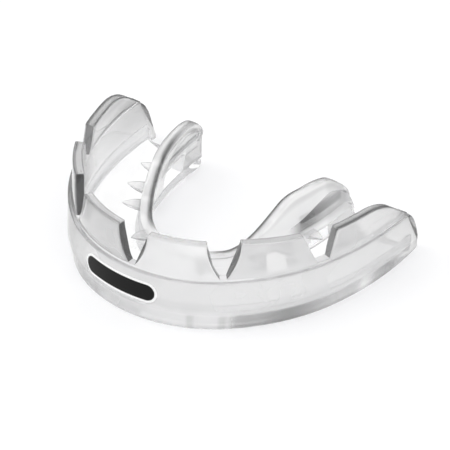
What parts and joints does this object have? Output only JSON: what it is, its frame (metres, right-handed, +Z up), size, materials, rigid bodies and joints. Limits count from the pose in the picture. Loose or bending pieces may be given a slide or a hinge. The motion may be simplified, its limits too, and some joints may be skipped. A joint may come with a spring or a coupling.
{
  "type": "upper mouthguard for braces",
  "caption": "Clear upper mouthguard: horseshoe shell with hinged lip-side flaps, a bite plate and a windowed tongue-side wall.",
  "frame": {"origin": "under the middle of the guard, on its flat base", "axes": "+Z up towards the gums, -Y towards the lips at the front, +X towards the wearer's left"},
  "size_m": [0.0658, 0.0538, 0.0197],
  "materials": {
    "clear_elastomer": "clear, semi-gloss",
    "white_print": "gloss ink",
    "black_print": "gloss ink"
  },
  "bodies": {
    "guard": {"outer_shell": "clear_elastomer", "bite_plate": "clear_elastomer", "palate_wall": "clear_elastomer", "retention_fins_left": "clear_elastomer", "retention_fins_right": "clear_elastomer", "mark_border": "white_print", "mark_ink": "black_print"},
    "front_flap_left": {"front_flap_left": "clear_elastomer"},
    "front_flap_right": {"front_flap_right": "clear_elastomer"},
    "middle_flap_left": {"middle_flap_left": "clear_elastomer"},
    "middle_flap_right": {"middle_flap_right": "clear_elastomer"},
    "rear_flap_left": {"rear_flap_left": "clear_elastomer"},
    "rear_flap_right": {"rear_flap_right": "clear_elastomer"}
  },
  "joints": [
    {"name": "front_flap_left_hinge", "type": "hinge", "parent": "guard", "child": "front_flap_left", "pos_m": [0.00911, -0.02447, 0.01167], "axis": [0.9381, 0.3464, 0], "range_deg": [0, 28], "stiffness_Nm_per_rad": 0.0002},
    {"name": "front_flap_right_hinge", "type": "hinge", "parent": "guard", "child": "front_flap_right", "pos_m": [-0.00911, -0.02447, 0.01167], "axis": [0.9381, -0.3464, 0], "range_deg": [0, 28], "stiffness_Nm_per_rad": 0.0002},
    {"name": "middle_flap_left_hinge", "type": "hinge", "parent": "guard", "child": "middle_flap_left", "pos_m": [0.02343, -0.01277, 0.01167], "axis": [0.5815, 0.8135, 0], "range_deg": [0, 28], "stiffness_Nm_per_rad": 0.0002},
    {"name": "middle_flap_right_hinge", "type": "hinge", "parent": "guard", "child": "middle_flap_right", "pos_m": [-0.02343, -0.01277, 0.01167], "axis": [0.5815, -0.8135, 0], "range_deg": [0, 28], "stiffness_Nm_per_rad": 0.0002},
    {"name": "rear_flap_left_hinge", "type": "hinge", "parent": "guard", "child": "rear_flap_left", "pos_m": [0.0305, 0.00355, 0.01167], "axis": [0.2179, 0.976, 0], "range_deg": [0, 28], "stiffness_Nm_per_rad": 0.0002},
    {"name": "rear_flap_right_hinge", "type": "hinge", "parent": "guard", "child": "rear_flap_right", "pos_m": [-0.0305, 0.00355, 0.01167], "axis": [0.2179, -0.976, 0], "range_deg": [0, 28], "stiffness_Nm_per_rad": 0.0002}
  ]
}
